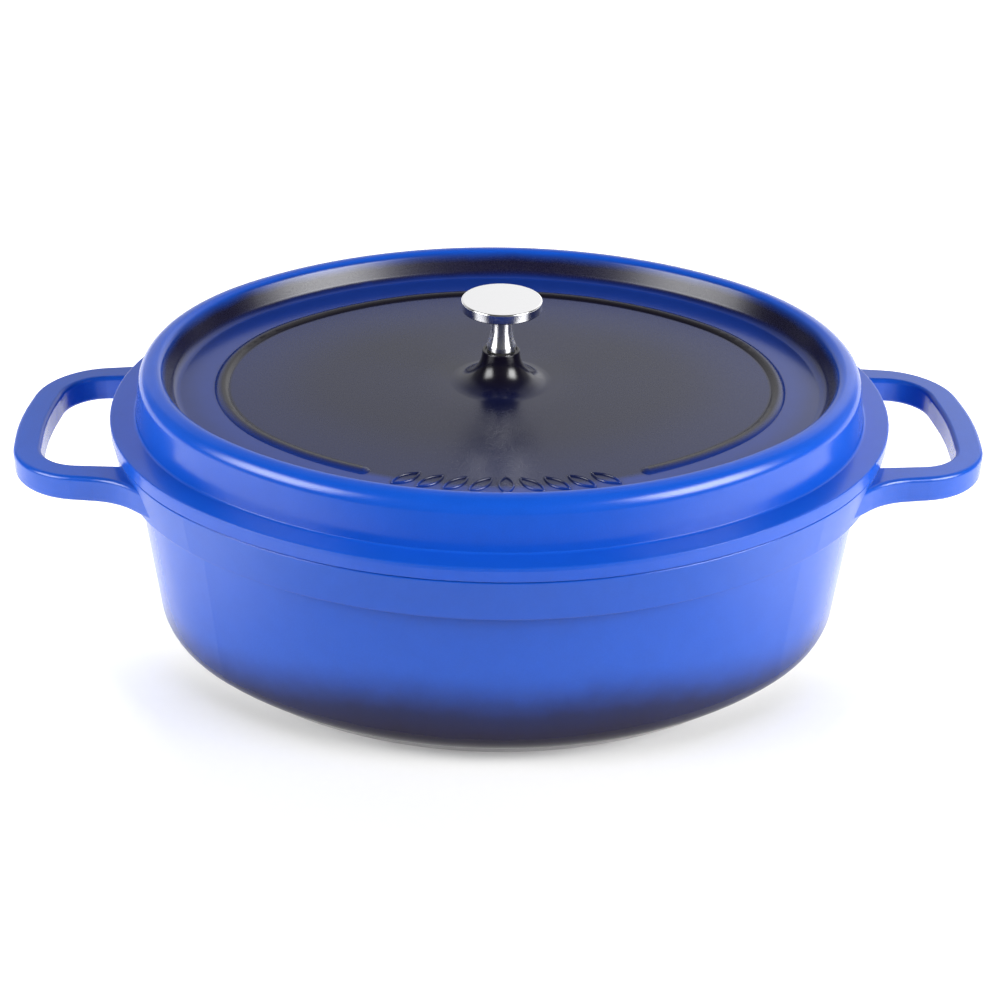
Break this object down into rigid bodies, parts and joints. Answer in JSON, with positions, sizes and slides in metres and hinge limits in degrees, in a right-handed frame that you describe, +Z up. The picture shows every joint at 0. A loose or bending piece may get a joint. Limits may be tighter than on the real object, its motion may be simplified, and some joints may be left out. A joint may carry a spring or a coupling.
{
  "type": "oval dutch oven with lid",
  "caption": "Oval cast casserole with a lift-off lid, a raised basting rim, a loop handle at each end and a turned metal knob.",
  "frame": {"origin": "on the table, under the middle of the pot", "axes": "+Z up, +X along the oval through both handles, the open stretch of the lid's raised bead faces -Y"},
  "size_m": [0.436, 0.2966, 0.1595],
  "materials": {
    "pot_coating": "satin sprayed coating over cast metal, blue fading to near black at the foot, bare at the machined base",
    "lid_coating": "satin sprayed coating over cast metal, blue at the rim fading to gloss black in the middle",
    "base_steel": "turned and brushed",
    "polished_chrome": "mirror polished",
    "fastener_steel": "plain steel",
    "seat_rubber": "heat-resistant rubber"
  },
  "bodies": {
    "pot": {"pot_body": "pot_coating", "base_disc": "base_steel"},
    "lid": {"lid_body": "lid_coating", "knob": "polished_chrome", "knob_screw": "fastener_steel", "flat_washer": "fastener_steel", "spring_washer": "fastener_steel", "seat_washer": "seat_rubber"}
  },
  "joints": [
    {"name": "lid_lift", "type": "slide", "parent": "pot", "child": "lid", "axis": [0, 0, 1], "range_m": [0, 0.12]}
  ]
}
